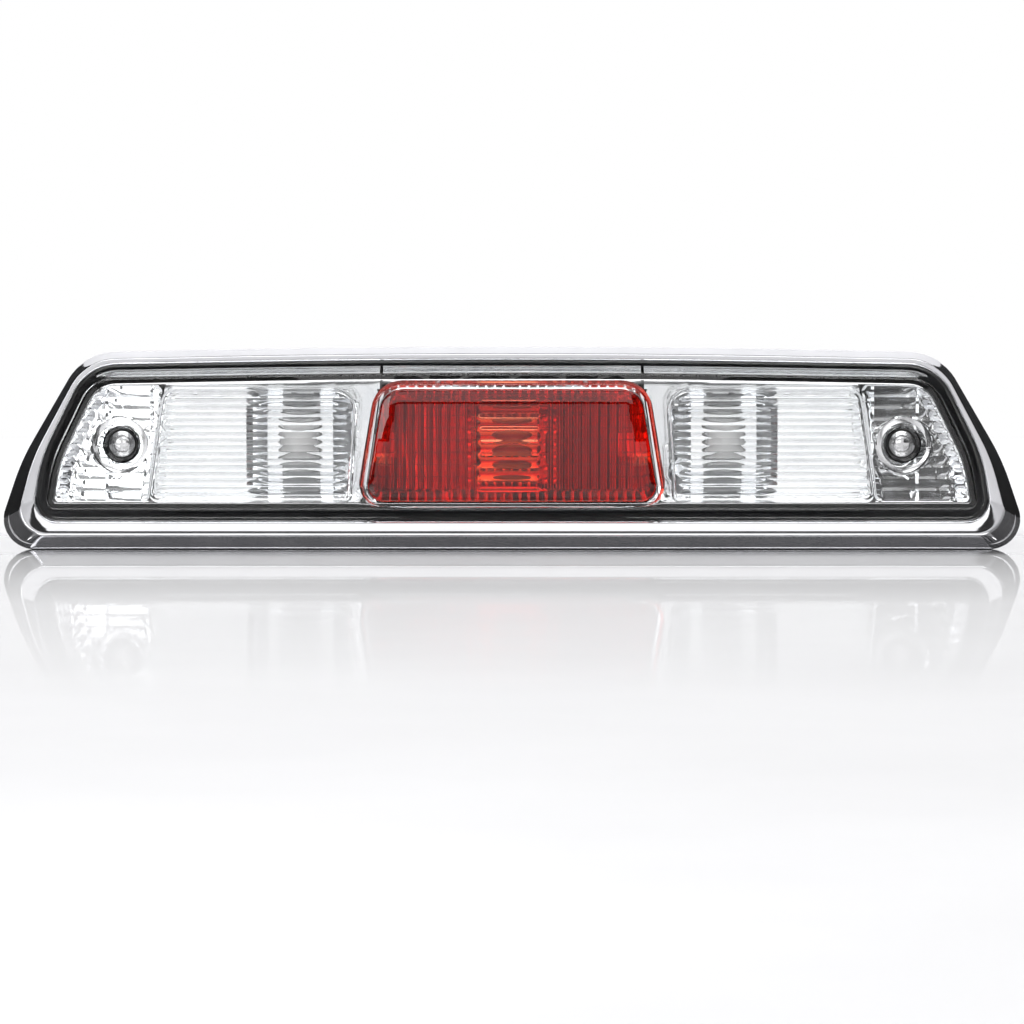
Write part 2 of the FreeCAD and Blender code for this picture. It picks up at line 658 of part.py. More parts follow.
os.makedirs("parts", exist_ok=True)
save("bezel", make_bezel())
save("lens", make_lens())
save("brake_lens", make_red_lens())
save("housing", make_housing())
save("lens_seal", make_lens_seal())
save("gasket", make_gasket())
save("brake_reflector", chamber(RED_ROOM, RED_ROOM_RADII, LAMPS["brake"], RED_BOWL_W))
cargo = chamber(WINDOW_ROOM, WINDOW_ROOM_RADII, LAMP_X, WINDOW_BOWL_W)
save("cargo_reflector_right", cargo)
save("cargo_reflector_left", other_side(cargo))
end = make_end_reflector()
save("end_reflector_right", end)
save("end_reflector_left", other_side(end))
save("mounting_screws", Part.makeCompound([make_screw(x) for x in SCREWS]))
save("sealing_washers", Part.makeCompound([make_washer(x) for x in SCREWS]))
save("screw_sleeves", Part.makeCompound([make_sleeve(x) for x in SCREWS]))
save("connector_header", make_header())
save("header_terminals", make_terminals())
save("harness_clips", Part.makeCompound([make_clip(x) for x in CLIP_X]))
save("vent_cap", make_vent_cap())
save("brake_lead", brake_lead())
save("cargo_lead_left", cargo_lead(-LAMP_X, LEAD_ENTRIES[0]))
save("cargo_lead_right", cargo_lead(LAMP_X, LEAD_ENTRIES[1]))
for lamp, x in LAMPS.items():
    save(lamp + "_holder", make_holder(x))
    save(lamp + "_holder_seal", make_holder_seal(x))
    save(lamp + "_bulb", make_bulb(x))
    save(lamp + "_filament", make_filament(x))
    save(lamp + "_contacts", make_contacts(x))
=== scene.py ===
import json
import math

import bmesh
import bpy
import numpy as np
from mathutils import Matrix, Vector
from mathutils.geometry import delaunay_2d_cdt


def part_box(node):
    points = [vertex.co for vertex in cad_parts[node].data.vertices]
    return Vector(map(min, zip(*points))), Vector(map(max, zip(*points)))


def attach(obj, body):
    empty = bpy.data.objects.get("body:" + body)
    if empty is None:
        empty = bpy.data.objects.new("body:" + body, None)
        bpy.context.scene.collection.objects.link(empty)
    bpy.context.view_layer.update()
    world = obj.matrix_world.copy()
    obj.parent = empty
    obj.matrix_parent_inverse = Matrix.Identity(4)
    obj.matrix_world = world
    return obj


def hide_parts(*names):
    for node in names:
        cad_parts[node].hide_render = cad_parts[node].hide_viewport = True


# Looks of a third brake light. Shapes are worked out in millimetres in the lamp's own frame:
# +X to the right seen from the front, -Y the way the lens faces, +Z up, origin between the mounting screws.

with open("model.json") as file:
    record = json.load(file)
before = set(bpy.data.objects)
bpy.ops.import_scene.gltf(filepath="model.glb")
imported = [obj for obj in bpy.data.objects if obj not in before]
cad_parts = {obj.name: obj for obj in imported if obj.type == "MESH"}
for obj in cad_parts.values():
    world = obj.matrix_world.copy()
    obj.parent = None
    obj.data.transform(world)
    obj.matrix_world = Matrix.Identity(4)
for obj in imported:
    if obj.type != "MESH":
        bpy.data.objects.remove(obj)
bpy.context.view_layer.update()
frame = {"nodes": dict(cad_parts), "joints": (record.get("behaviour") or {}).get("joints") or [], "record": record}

MM = 0.001
LAMP = "lamp_body"
MOUNT = {m["name"]: m for m in frame["record"]["mounts"]}
SCREW_X = MOUNT["mounting_screws"]["dims"]["spacing_x_mm"] / 2
BULBS = {j["child"]: j["pos_m"][0] / MM for j in frame["joints"]}
FLOOR_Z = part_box("bezel")[0].z / MM

# Outlines: right-hand corners (x, z) from the foot up, then the crown's apex, with the corner radii
BEZEL_OUTLINE = [(205.2, -42.0), (193.1, -6.5), (168.5, 35.7), (0.0, 39.2)]
BEZEL_RADII = [12.0, 90.0, 22.0, 6000.0]
LENS_OUTLINE = [(187.6, -29.6), (183.6, -4.9), (166.3, 30.6), (0.0, 33.5)]
LENS_RADII = [8.0, 60.0, 19.0, 6000.0]
RED_OUTLINE = [(57.4, -22.0), (50.2, 22.0)]
RED_RADII = [6.0, 9.0]
WINDOW_OUTLINE = [(62.6, -22.4), (142.6, -22.4), (136.2, 22.6), (59.8, 22.6)]
WINDOW_RADII = [3.0, 4.0, 6.0, 9.0]

# Bezel's section from its flange to the lens: (share of the way from its outline to the lens's, depth)
BEZEL_SECTION = [(0.0, -0.5), (0.0, -2.8), (0.06, -3.8), (0.14, -5.0), (0.47, -10.1), (0.52, -10.5),
                 (0.58, -10.5), (0.90, -10.2), (0.95, -9.5), (0.96, -8.0), (0.96, -5.5)]

# Brake reflector: inner outline of its pan and its depths, the stepped flange over it, and its facets, with
# their tilts in degrees; facets face ahead in the middle and in a spot beside each edge
RED_ROOM = [(56.2, -22.0), (49.6, 23.6), (-49.6, 23.6), (-56.2, -22.0)]
RED_ROOM_RADII = [3.0, 5.0, 5.0, 3.0]
RED_ROOM_RIM = -14.5
RED_ROOM_FLOOR = 6.0
RED_ROOM_T = 1.2
FLANGE_LOW = 24.2
FLANGE_TOP = 26.7
FLANGE_LIP = 28.9
FLANGE_BACK = -6.7
FLANGE_HALF = 50.5
BULB_HOLE_R = 8.0
RED_FACET_W = 3.45
RED_FACET_OUT = 24.0
RED_FACET_UP = 5.0
RED_CENTRE_UP = 9.5
RED_TREAD = 0.78
RED_CENTRE_HALF = 14.0
RED_CENTRE_Z = -1.0
RED_CENTRE_HIGH = 15.5
RED_EDGE = 44.0

# End reflector: outer outline of its pan and its depths, and the facets on its floor, with their tilts in
# degrees
END_PAN = [(142.0, -22.2), (180.0, -22.2), (177.2, -4.6), (163.2, 23.4), (136.6, 23.4)]
END_PAN_RADII = [3.0, 4.0, 40.0, 12.0, 3.0]
END_PAN_RIM = -13.5
END_PAN_FLOOR = -7.6
END_PAN_BACK = -5.8
END_PAN_T = 1.2
TOWER_R = 8.7
FACET_W = 17.6
FACET_OUT = 9.0
FACET_UP = 6.0

# Clear lens: its wall, the rim round the red lens, window borders, screw wells (radius, depth) and its optics
PLATE_FRONT = -5.5
FACE_Y = -22.0
LENS_WALL = 2.2
LENS_EDGE = 2.0
WALL_LEAN = 0.55
FACE_INSET = 5.2
CROWN = 0.5
RIM_W = 3.4
RIM_FOOT = -24.0
RIM_PROUD = 1.5
BORDER_W = 1.8
BORDER_PROUD = 0.7
WELL_PROFILE = [(9.8, -20.8), (8.8, -20.8), (8.2, -19.6), (6.5, -17.0), (6.5, -7.8), (3.4, -7.8), (3.4, -5.5),
                (8.3, -5.5), (8.3, -15.0), (11.0, -19.4)]
FLUTE_PITCH = 2.6
FLUTE_H = 0.30
BAND_PITCH = 4.57
BAND_H = 0.45
CELL_W = 6.4
CELL_H = 0.7
STAIR_MARGIN = 8.0
BAND_SHIFT = 0.4
FADE = 0.7
FLUTE_MARGIN = 1.2
WINDOW_GAP = 2.0
CROWN_HALF_X = 183.0
CROWN_HALF_Z = 26.0
CROWN_Z = 0.8
RIM_RISE = 0.5
RIM_FALL = 1.8
WELL_CLEAR_R = 11.0

# Red lens: its shape, its upright flutes and level bars, and its colours, with lighter red painted on as a
# highlight;
# each band below is a middle, a half width and a soft edge
RED_FACE = -23.0
RED_WALL = 2.2
RED_BEVEL = 0.8
RED_FOOT = -16.2
RED_PITCH = 3.45
RED_H = 0.5
RED_LIP = 4.2
RED_LIP_SLOPE = 0.5
RED_BAR_HALF = 12.5
RED_BAR_PITCH = 4.85
RED_BAR_H = 1.2
RED_BAR_START = 1.0
RED_BAR_X = -1.0
RED_BAR_FADE = 1.5
RED_MARGIN = 3.4
RED_FADE = 0.6
RED_DEEP = [(0.56, 0.04, 0.024), (0.60, 0.05, 0.028)]
# Painted highlight: lighter red where light shines through, in the middle bars in front of the bulb and in a spot
# beside each edge
RED_PAINTED_LIGHT = (0.92, 0.30, 0.15)
RED_LIT_BARS_X = (-2.5, 13.5, 2.5)
RED_LIT_BARS_Z = (-1.0, 15.0, 2.0)
RED_LIT_SPOT_X = (50.2, 3.4, 1.0)
RED_LIT_SPOT_Z = (-5.5, 2.6, 0.6)

# Camera, in the lamp's frame
VIEW_DISTANCE = 2200.0
VIEW_UP = 3.5
AIM_Z = -27.4
PICTURE_WIDTH = 404.0
SENSOR_WIDTH = 36.0

# Studio: brightness of the surroundings from below to overhead, and the floor's share of gloss along Y
SKY = [(0.0, 0.04), (0.30, 0.06), (0.42, 0.30), (0.70, 0.40)]
GLOSS = [(0.0, 0.0), (0.34, 0.16), (0.58, 0.58), (0.60, 0.90), (0.68, 0.90), (0.80, 0.0)]
GLOSS_END = -620.0
GLOSS_BACK = 380.0
STAGE_HALF = 1500.0
STAGE_FRONT = -2600.0
BACKDROP_Y = 900.0
BACKDROP_HALF = 900.0
BACKDROP_TOP = 900.0
# Dark cards that only reflections show: name, centre (x, y), half width, foot, top, turn in degrees
CARDS = [("flag_left", (-430, 150), 310, FLOOR_Z, 400, 90),
         ("flag_right", (430, 150), 310, FLOOR_Z, 400, 90),
         ("flag_front_right", (640, -1050), 480, FLOOR_Z + 10, 480, 58)]
# Softboxes: name, place, the point each one faces, size, power in watts
SOFTBOXES = [("key", (0, -1200, 1250), (0, 0, 0), (1500, 1000), 16),
             ("front_strip", (0, -2550, 560), (0, 0, 0), (1800, 880), 8),
             ("left_fill", (-720, -1500, 260), (0, 0, 0), (500, 500), 3.5),
             ("backdrop_light", (0, 200, 900), (0, 900, 150), (1600, 400), 9)]


def corner_arc(before, corner, after, radius, steps):
    """Points of the arc that rounds one corner."""
    before, corner, after = Vector(before), Vector(corner), Vector(after)
    a = (before - corner).normalized()
    b = (after - corner).normalized()
    half = a.angle(b) / 2
    centre = corner + (a + b).normalized() * (radius / math.sin(half))
    start = corner + a * (radius / math.tan(half)) - centre
    end = corner + b * (radius / math.tan(half)) - centre
    turn = start.angle(end)
    points = []
    for i in range(steps + 1):
        t = i / steps
        mix = (start * math.sin((1 - t) * turn) + end * math.sin(t * turn)) / math.sin(turn)
        points.append(centre + mix)
    return points


def trace(outline, arc_steps=12, side_steps=8):
    """An outline as a closed run of points (x, z), the same number for every outline with as many corners."""
    points, radii = outline
    n = len(points)
    arcs = [corner_arc(points[i - 1], points[i], points[(i + 1) % n], radii[i], arc_steps) for i in range(n)]
    run = []
    for i, arc in enumerate(arcs):
        run.extend(arc)
        after = arcs[(i + 1) % n][0]
        run.extend(arc[-1].lerp(after, k / side_steps) for k in range(1, side_steps))
    return [tuple(p) for p in run]


def mirrored(half, radii):
    """A symmetric outline from its right-hand corners, which end in the apex on the centre line."""
    left = [(-x, z) for x, z in reversed(half[:-1])]
    return half + left, radii + list(reversed(radii[:-1]))


def inset(outline, distance):
    """The outline with every side moved in by a distance."""
    points, radii = outline
    n = len(points)
    moved = []
    for i in range(n):
        normals = []
        for (x0, z0), (x1, z1) in ((points[i - 1], points[i]), (points[i], points[(i + 1) % n])):
            length = math.hypot(x1 - x0, z1 - z0)
            normals.append(((z0 - z1) / length, (x1 - x0) / length))
        (ax, az), (bx, bz) = normals
        scale = distance / (1 + ax * bx + az * bz)
        moved.append((points[i][0] + (ax + bx) * scale, points[i][1] + (az + bz) * scale))
    return moved, [max(r - distance, 0.8) for r in radii]


def blend(first, second, t):
    """The outline a fraction t of the way from the first to the second."""
    points = [(a[0] + (b[0] - a[0]) * t, a[1] + (b[1] - a[1]) * t) for a, b in zip(first[0], second[0])]
    return points, [a + (b - a) * t for a, b in zip(first[1], second[1])]


def red_outline(grow):
    """The red window's outline, grown by a margin all round but no lower than the lens's face."""
    points = RED_OUTLINE + [(-x, z) for x, z in reversed(RED_OUTLINE)]
    points, radii = inset((points, RED_RADII + list(reversed(RED_RADII))), -grow)
    return [(x, max(z, RIM_FOOT)) for x, z in points], radii


def flipped(outline):
    """The mirror image of an outline across the lamp's centre plane."""
    points, radii = outline
    return [(-x, z) for x, z in reversed(points)], list(reversed(radii))


OUTER = mirrored(BEZEL_OUTLINE, BEZEL_RADII)
LENS = mirrored(LENS_OUTLINE, LENS_RADII)
FACE = inset(LENS, FACE_INSET)
WINDOWS = ((WINDOW_OUTLINE, WINDOW_RADII), flipped((WINDOW_OUTLINE, WINDOW_RADII)))


class Skin:
    """Points in millimetres and faces of one mesh."""

    def __init__(self):
        self.points = []
        self.faces = []

    def ring(self, run, y):
        """Adds a run of points (x, z) at one depth, or at a depth each, and returns their numbers."""
        start = len(self.points)
        depths = y if hasattr(y, "__len__") else [y] * len(run)
        self.points.extend((x, depth, z) for (x, z), depth in zip(run, depths))
        return list(range(start, len(self.points)))

    def bridge(self, first, second):
        """Quads between two closed rings."""
        n = len(first)
        for i in range(n):
            j = (i + 1) % n
            self.faces.append((first[i], first[j], second[j], second[i]))

    def tunnel(self, rings, closed=False):
        """Quads through a list of rings, and back to the first if closed."""
        for a, b in zip(rings, rings[1:] + rings[:1] if closed else rings[1:]):
            self.bridge(a, b)

    def sheet(self, edge, holes, lines, grid, depth):
        """A triangulated sheet inside the edge and outside the holes, that follows the given lines."""
        runs = [edge] + holes + lines
        flat = np.array([p for run in runs for p in run])
        keep = clear_of(grid, runs, 0.22)
        inside = within(grid, edge)
        for hole in holes:
            inside &= ~within(grid, hole)
        grid = grid[keep & inside]
        links, start = [], 0
        for run in runs:
            n = len(run)
            links.extend((start + i, start + (i + 1) % n) for i in range(n))
            start += n
        everything = [Vector(p) for p in np.vstack([flat, grid])]
        out, _, triangles, _, _, _ = delaunay_2d_cdt(everything, links, [], 0, 1e-5)
        flat = np.array([tuple(p) for p in out])
        triangles = np.array([t for t in triangles if len(t) == 3])
        middle = flat[triangles].mean(axis=1)
        good = within(middle, edge)
        for hole in holes:
            good &= ~within(middle, hole)
        base = len(self.points)
        depths = depth(flat[:, 0], flat[:, 1])
        self.points.extend(zip(flat[:, 0], depths, flat[:, 1]))
        self.faces.extend(tuple(int(i) + base for i in t) for t in triangles[good])

    def plank(self, section, x0, x1):
        """Closes a straight bar along x with a section of (z, y) corners."""
        ends = [self.ring([(x, z) for z, _ in section], [y for _, y in section]) for x in (x0, x1)]
        self.bridge(*ends)
        self.faces.extend([ends[0], ends[1][::-1]])

    def mesh(self, name, sharp=35.0):
        """The finished object: merged, facing outwards, smooth but for its sharp edges."""
        data = bpy.data.meshes.new(name)
        data.from_pydata([Vector(p) * MM for p in self.points], [], self.faces)
        work = bmesh.new()
        work.from_mesh(data)
        bmesh.ops.remove_doubles(work, verts=work.verts, dist=2e-7)
        bmesh.ops.recalc_face_normals(work, faces=work.faces)
        work.to_mesh(data)
        work.free()
        for polygon in data.polygons:
            polygon.use_smooth = True
        data.set_sharp_from_angle(angle=math.radians(sharp))
        piece = bpy.data.objects.new(name, data)
        bpy.context.scene.collection.objects.link(piece)
        return piece


def within(points, run):
    """Which of the points lie inside a closed run."""
    x, z = points[:, 0][:, None], points[:, 1][:, None]
    a = np.array(run)
    b = np.roll(a, -1, axis=0)
    crosses = (a[:, 1] > z) != (b[:, 1] > z)
    with np.errstate(divide="ignore", invalid="ignore"):
        at = a[:, 0] + (z - a[:, 1]) * (b[:, 0] - a[:, 0]) / (b[:, 1] - a[:, 1])
    return (crosses & (x < at)).sum(axis=1) % 2 == 1


def gap_to(points, run):
    """Distance of each point from a closed run."""
    a = np.array(run)
    side = np.roll(a, -1, axis=0) - a
    reach = points[:, None, :] - a
    t = np.clip((reach * side).sum(axis=2) / np.maximum((side ** 2).sum(axis=1), 1e-12), 0, 1)
    return np.sqrt(((reach - t[:, :, None] * side) ** 2).sum(axis=2)).min(axis=1)


def clear_of(points, runs, gap):
    """Which of the points stand at least a gap away from every run."""
    keep = np.ones(len(points), bool)
    for run in runs:
        keep &= gap_to(points, run) > gap
    return keep


def lattice(x0, x1, dx, z0, z1, dz):
    """Points of a regular grid."""
    xs = np.arange(x0, x1, dx)
    zs = np.arange(z0, z1, dz)
    return np.array([(x, z) for x in xs for z in zs])


def circle(x, radius, steps=64):
    """A circle of points on the lamp's long axis."""
    return [(x + radius * math.cos(2 * math.pi * i / steps), radius * math.sin(2 * math.pi * i / steps))
            for i in range(steps)]


def crown(x, z):
    """How far the lens's face bulges forward."""
    across, along = (z - CROWN_Z) / CROWN_HALF_Z, x / CROWN_HALF_X
    return CROWN * np.clip(1 - along ** 2, 0, 1) * np.clip(1 - across ** 2, 0, 1)


def ridge(gap, width, height):
    """Round ridge across a border, from its edge to its far side."""
    t = np.clip(gap / width, 0, 1)
    return height * np.sqrt(np.clip(1 - (2 * t - 1) ** 2, 0, 1))


def outer_face(x, z):
    """Depth of the lens's face, with the rim round the red window and the borders of the clear windows."""
    points = np.stack([x, z], axis=1)
    depth = FACE_Y - crown(x, z)
    rim_gap = gap_to(points, trace(red_outline(0)))
    rim = np.clip(rim_gap / RIM_RISE, 0, 1) * np.clip((RIM_W - rim_gap) / RIM_FALL, 0, 1)
    near_red = within(points, trace(red_outline(RIM_W + 0.2)))
    depth = depth - np.where(near_red, RIM_PROUD * rim, 0)
    for window in WINDOWS:
        gap = gap_to(points, trace(window))
        inside = within(points, trace(inset(window, -0.01)))
        depth = depth - np.where(inside & (gap < BORDER_W), ridge(gap, BORDER_W, BORDER_PROUD), 0)
    return depth


def flute(z, pitch, height):
    """Round-backed flutes across a coordinate."""
    t = 2 * np.mod(z / pitch, 1) - 1
    return height * (1 - t ** 2)


def end_relief(x, z):
    """Bands of an end window, with two columns of prism cells that step along the slanted edge."""
    row = np.floor((z - BAND_SHIFT) / BAND_PITCH)
    middle = (row + 0.5) * BAND_PITCH + BAND_SHIFT
    xs, zs = zip(*LENS_OUTLINE[:3])
    edge = np.interp(middle, zs, xs) - FACE_INSET
    u = (np.abs(x) - (edge - STAIR_MARGIN)) / CELL_W
    v = 2 * np.mod((z - BAND_SHIFT) / BAND_PITCH, 1) - 1
    cell = 2 * np.mod(u, 1) - 1
    pillow = CELL_H * (1 - np.abs(cell) ** 2.2) * (1 - np.abs(v) ** 2.2)
    band = BAND_H * (1 - v ** 2)
    return np.where(u > 0, pillow, band)


def inner_face(x, z):
    """Depth of the lens's inner face, with its optics."""
    points = np.stack([x, z], axis=1)
    relief = np.zeros(len(x))
    inner_edge = trace(inset(FACE, LENS_WALL))
    for window in WINDOWS:
        start = trace(inset(window, FLUTE_MARGIN))
        share = np.clip(gap_to(points, start) / FADE, 0, 1)
        relief = np.where(within(points, start), share * flute(z, FLUTE_PITCH, FLUTE_H), relief)
    xs, zs = zip(*WINDOW_OUTLINE[1:3])
    border = np.interp(z, zs, xs) + WINDOW_GAP
    share = np.clip((np.abs(x) - border) / FADE, 0, 1) * np.clip(gap_to(points, inner_edge) / FADE, 0, 1)
    for side in (-SCREW_X, SCREW_X):
        share = share * np.clip((np.hypot(x - side, z) - WELL_CLEAR_R) / FADE, 0, 1)
    relief = np.where(np.abs(x) > border, share * end_relief(x, z), relief)
    return FACE_Y + LENS_WALL + relief


def make_lens():
    """Clear lens with its optics, its rims and its screw wells."""
    skin = Skin()
    steps = 6
    outer = [skin.ring(trace(LENS), PLATE_FRONT)]
    inner = [skin.ring(trace(inset(LENS, LENS_WALL)), PLATE_FRONT)]
    for offset, rings in ((0.0, outer), (LENS_WALL, inner)):
        for step in range(steps + 1):
            angle = math.radians(90 * step / steps)
            run = trace(inset(FACE, offset - math.cos(angle)))
            rings.append(skin.ring(run, FACE_Y + offset + LENS_EDGE * (1 - math.sin(angle))))
    skin.tunnel(outer)
    skin.tunnel(inner)
    skin.bridge(outer[0], inner[0])

    red = trace(red_outline(0))
    mouths = [circle(x, WELL_PROFILE[0][0]) for x in (-SCREW_X, SCREW_X)]
    towers = [circle(x, WELL_PROFILE[-1][0]) for x in (-SCREW_X, SCREW_X)]
    lines = [trace(red_outline(g)) for g in (RIM_RISE, RIM_W - RIM_FALL, RIM_W - RIM_FALL / 2, RIM_W)]
    for window in WINDOWS:
        lines.extend(trace(inset(window, BORDER_W * t)) for t in (0.0, 0.1, 0.3, 0.5, 0.7, 0.9, 1.0))
    skin.sheet(trace(FACE), [red] + mouths, lines, lattice(-182, 182, 6, -24, 30, 3), outer_face)

    lines = [trace(inset(w, FLUTE_MARGIN + margin)) for margin in (0, FADE) for w in WINDOWS]
    fine = FLUTE_PITCH / 8
    grids = [lattice(side * 100.6 - 40, side * 100.6 + 41, 3.0, -22.1, 22.6, fine) for side in (-1, 1)]
    grids += [lattice(x, x + 40, 0.58, BAND_SHIFT - 6 * BAND_PITCH, 30, BAND_PITCH / 12)
              for x in (-180, 139.0)]
    grids.append(lattice(-58, 58, 5, -21, 26, 4))
    window_runs = [trace(inset(w, -0.5)) for w in WINDOWS]
    ends = [g[~(within(g, window_runs[0]) | within(g, window_runs[1]))] for g in grids[2:4]]
    cargo = [g[within(g, run)] for g, run in zip(grids[:2], (window_runs[1], window_runs[0]))]
    grid = np.vstack(cargo + ends + grids[4:])
    skin.sheet(trace(inset(FACE, LENS_WALL)), [red] + towers, lines, grid, inner_face)

    front = np.array(red)
    skin.bridge(skin.ring(red, outer_face(front[:, 0], front[:, 1])), skin.ring(red, FACE_Y + LENS_WALL))
    for x, mouth in zip((-SCREW_X, SCREW_X), mouths):
        edge = np.array(mouth)
        rings = [skin.ring(mouth, outer_face(edge[:, 0], edge[:, 1]))]
        rings += [skin.ring(circle(x, r), y) for r, y in WELL_PROFILE]
        rings.append(skin.ring(circle(x, WELL_PROFILE[-1][0]), FACE_Y + LENS_WALL))
        skin.tunnel(rings)
    lens = skin.mesh("clear_lens", 28.0)
    for face in lens.data.polygons:
        face.material_index = int(abs(face.normal.y) < WALL_LEAN)
    return lens


def red_back(x, z):
    """Depth of the red lens's inner face: upright flutes, and level bars across its middle."""
    top = RED_OUTLINE[1][1] - RED_LIP
    low = RED_OUTLINE[0][1] + RED_LIP
    share = np.clip((top - z) / RED_FADE, 0, 1) * np.clip((z - low) / RED_FADE, 0, 1)
    xs, zs = zip(*RED_OUTLINE)
    side = np.interp(z, zs, xs) - RED_MARGIN
    share = share * np.clip((side - np.abs(x)) / RED_FADE, 0, 1)
    middle = np.clip((RED_BAR_HALF - np.abs(x - RED_BAR_X)) / RED_BAR_FADE, 0, 1)
    bars = flute(z - RED_BAR_START, RED_BAR_PITCH, RED_BAR_H)
    lip = np.clip(z - top, 0, RED_MARGIN) * RED_LIP_SLOPE
    return RED_FACE + RED_WALL + lip + share * ((1 - middle) * flute(x, RED_PITCH, RED_H) + middle * bars)


def make_red_lens():
    """Red centre lens: a cup with a bevelled face and fluted back."""
    skin = Skin()
    rim = trace(red_outline(-RED_BEVEL))
    inner = trace(red_outline(-RED_WALL))
    outer = [skin.ring(trace(red_outline(0)), RED_FOOT),
             skin.ring(trace(red_outline(0)), RED_FACE + RED_BEVEL),
             skin.ring(trace(red_outline(-0.25)), RED_FACE + 0.25), skin.ring(rim, RED_FACE)]
    skin.tunnel(outer)
    inside = [skin.ring(inner, RED_FOOT), skin.ring(inner, RED_FACE + RED_WALL)]
    skin.tunnel(inside)
    skin.bridge(outer[0], inside[0])
    skin.sheet(rim, [], [], lattice(-60, 60, 8, -24, 24, 8), lambda x, z: np.full(len(x), RED_FACE))
    grid = lattice(-RED_PITCH * 17, 58, RED_PITCH / 8, -21.5, 21.5, RED_BAR_PITCH / 10)
    skin.sheet(inner, [], [], grid, red_back)
    return skin.mesh("red_lens", 28.0)


def red_facets(x, z):
    """Depth of the brake reflector's floor: facets that face ahead in its middle and lean out beside it."""
    across = np.clip(np.mod((np.abs(x) - RED_CENTRE_HALF) / RED_FACET_W, 1) / RED_TREAD, 0, 1) - 0.5
    along = np.mod((z - RED_BAR_START) / RED_BAR_PITCH, 1) - 0.5
    ahead = (np.abs(x) < RED_CENTRE_HALF) & (np.abs(z - RED_CENTRE_Z) < RED_CENTRE_HIGH)
    ahead |= (np.abs(x) > RED_EDGE) & (np.abs(z - RED_CENTRE_Z) < RED_BAR_PITCH)
    out = np.where(ahead, 0, math.tan(math.radians(RED_FACET_OUT)) * RED_FACET_W * RED_TREAD)
    lift = np.where(ahead, RED_CENTRE_UP, RED_FACET_UP)
    return RED_ROOM_FLOOR + across * out + along * np.tan(np.radians(lift)) * RED_BAR_PITCH


def make_brake_reflector():
    """Plated pan behind the red lens, with a faceted floor, open round the bulb."""
    room = trace((RED_ROOM, RED_ROOM_RADII))
    pan = trace(inset((RED_ROOM, RED_ROOM_RADII), -RED_ROOM_T))
    hole = circle(BULBS["brake_bulb_holder"], BULB_HOLE_R)
    skin = Skin()
    edge, ring = np.array(room), np.array(hole)
    back = RED_ROOM_FLOOR + RED_ROOM_T + 1.0
    rings = [skin.ring(pan, back), skin.ring(pan, RED_ROOM_RIM), skin.ring(room, RED_ROOM_RIM)]
    skin.tunnel(rings + [skin.ring(room, red_facets(edge[:, 0], edge[:, 1]))])
    skin.sheet(room, [hole], [], lattice(-56, 56, RED_FACET_W / 16, -22, 24, RED_BAR_PITCH / 12), red_facets)
    skin.bridge(skin.ring(hole, red_facets(ring[:, 0], ring[:, 1])), skin.ring(hole, back))
    skin.sheet(pan, [hole], [], lattice(-56, 56, 6, -22, 24, 6), lambda x, z: np.full(len(x), back))
    t = RED_ROOM_T
    step = [(FLANGE_LOW, RED_ROOM_RIM), (FLANGE_TOP, RED_ROOM_RIM), (FLANGE_TOP, FLANGE_BACK - t),
            (FLANGE_LIP, FLANGE_BACK - t), (FLANGE_LIP, FLANGE_BACK), (FLANGE_TOP - t, FLANGE_BACK),
            (FLANGE_TOP - t, RED_ROOM_RIM + t), (FLANGE_LOW, RED_ROOM_RIM + t)]
    skin.plank(step, -FLANGE_HALF, FLANGE_HALF)
    return skin.mesh("brake_pan", 20.0)


def facets(x, z):
    """Depth of an end reflector's floor: facets that each lean outwards and up."""
    across = np.mod((np.abs(x) - END_PAN[0][0]) / FACET_W, 1) - 0.5
    along = np.mod((z - BAND_SHIFT) / BAND_PITCH, 1) - 0.5
    out = math.tan(math.radians(FACET_OUT)) * FACET_W
    up = math.tan(math.radians(FACET_UP)) * BAND_PITCH
    return END_PAN_FLOOR + across * out + along * up


def make_end_reflector(side):
    """Plated pan behind an end window, with a faceted floor, open round the screw well."""
    pan = (END_PAN, END_PAN_RADII)
    room = inset(pan, END_PAN_T)
    pan, room = [trace(flipped(o) if side < 0 else o) for o in (pan, room)]
    well = circle(side * SCREW_X, TOWER_R)
    skin = Skin()
    edge, ring = np.array(room), np.array(well)
    rim = [skin.ring(pan, END_PAN_BACK), skin.ring(pan, END_PAN_RIM), skin.ring(room, END_PAN_RIM)]
    skin.tunnel(rim + [skin.ring(room, facets(edge[:, 0], edge[:, 1]))])
    skin.sheet(room, [well], [], lattice(-180, -136, 0.4, -22, 24, 0.381) * (-side, 1), facets)
    skin.bridge(skin.ring(well, facets(ring[:, 0], ring[:, 1])), skin.ring(well, END_PAN_BACK))
    skin.sheet(pan, [well], [], lattice(-180, -136, 5, -22, 23, 5) * (-side, 1),
               lambda x, z: np.full(len(x), END_PAN_BACK))
    return skin.mesh("end_pan", 20.0)


def smoothed(points, rounds):
    """The run of points with its corners cut again and again, its ends kept."""
    for _ in range(rounds):
        cut = [points[0]]
        for a, b in zip(points, points[1:]):
            cut.append(tuple(0.75 * p + 0.25 * q for p, q in zip(a, b)))
            cut.append(tuple(0.25 * p + 0.75 * q for p, q in zip(a, b)))
        points = cut + [points[-1]]
    return points


def make_bezel():
    """Chrome frame as one smooth section carried round the lamp."""
    skin = Skin()
    rings = [skin.ring(trace(blend(OUTER, LENS, t), 20, 16), y) for t, y in smoothed(BEZEL_SECTION, 2)]
    skirt = trace(inset(OUTER, 2.2), 20, 16)
    rings += [skin.ring(skirt, PLATE_FRONT), skin.ring(skirt, -0.5)]
    skin.tunnel(rings, closed=True)
    return skin.mesh("chrome_frame", 50.0)


def nodes_of(name):
    """A new material, its node tree and its Principled shader."""
    material = bpy.data.materials.new(name)
    material.use_nodes = True
    tree = material.node_tree
    return material, tree, tree.nodes["Principled BSDF"]


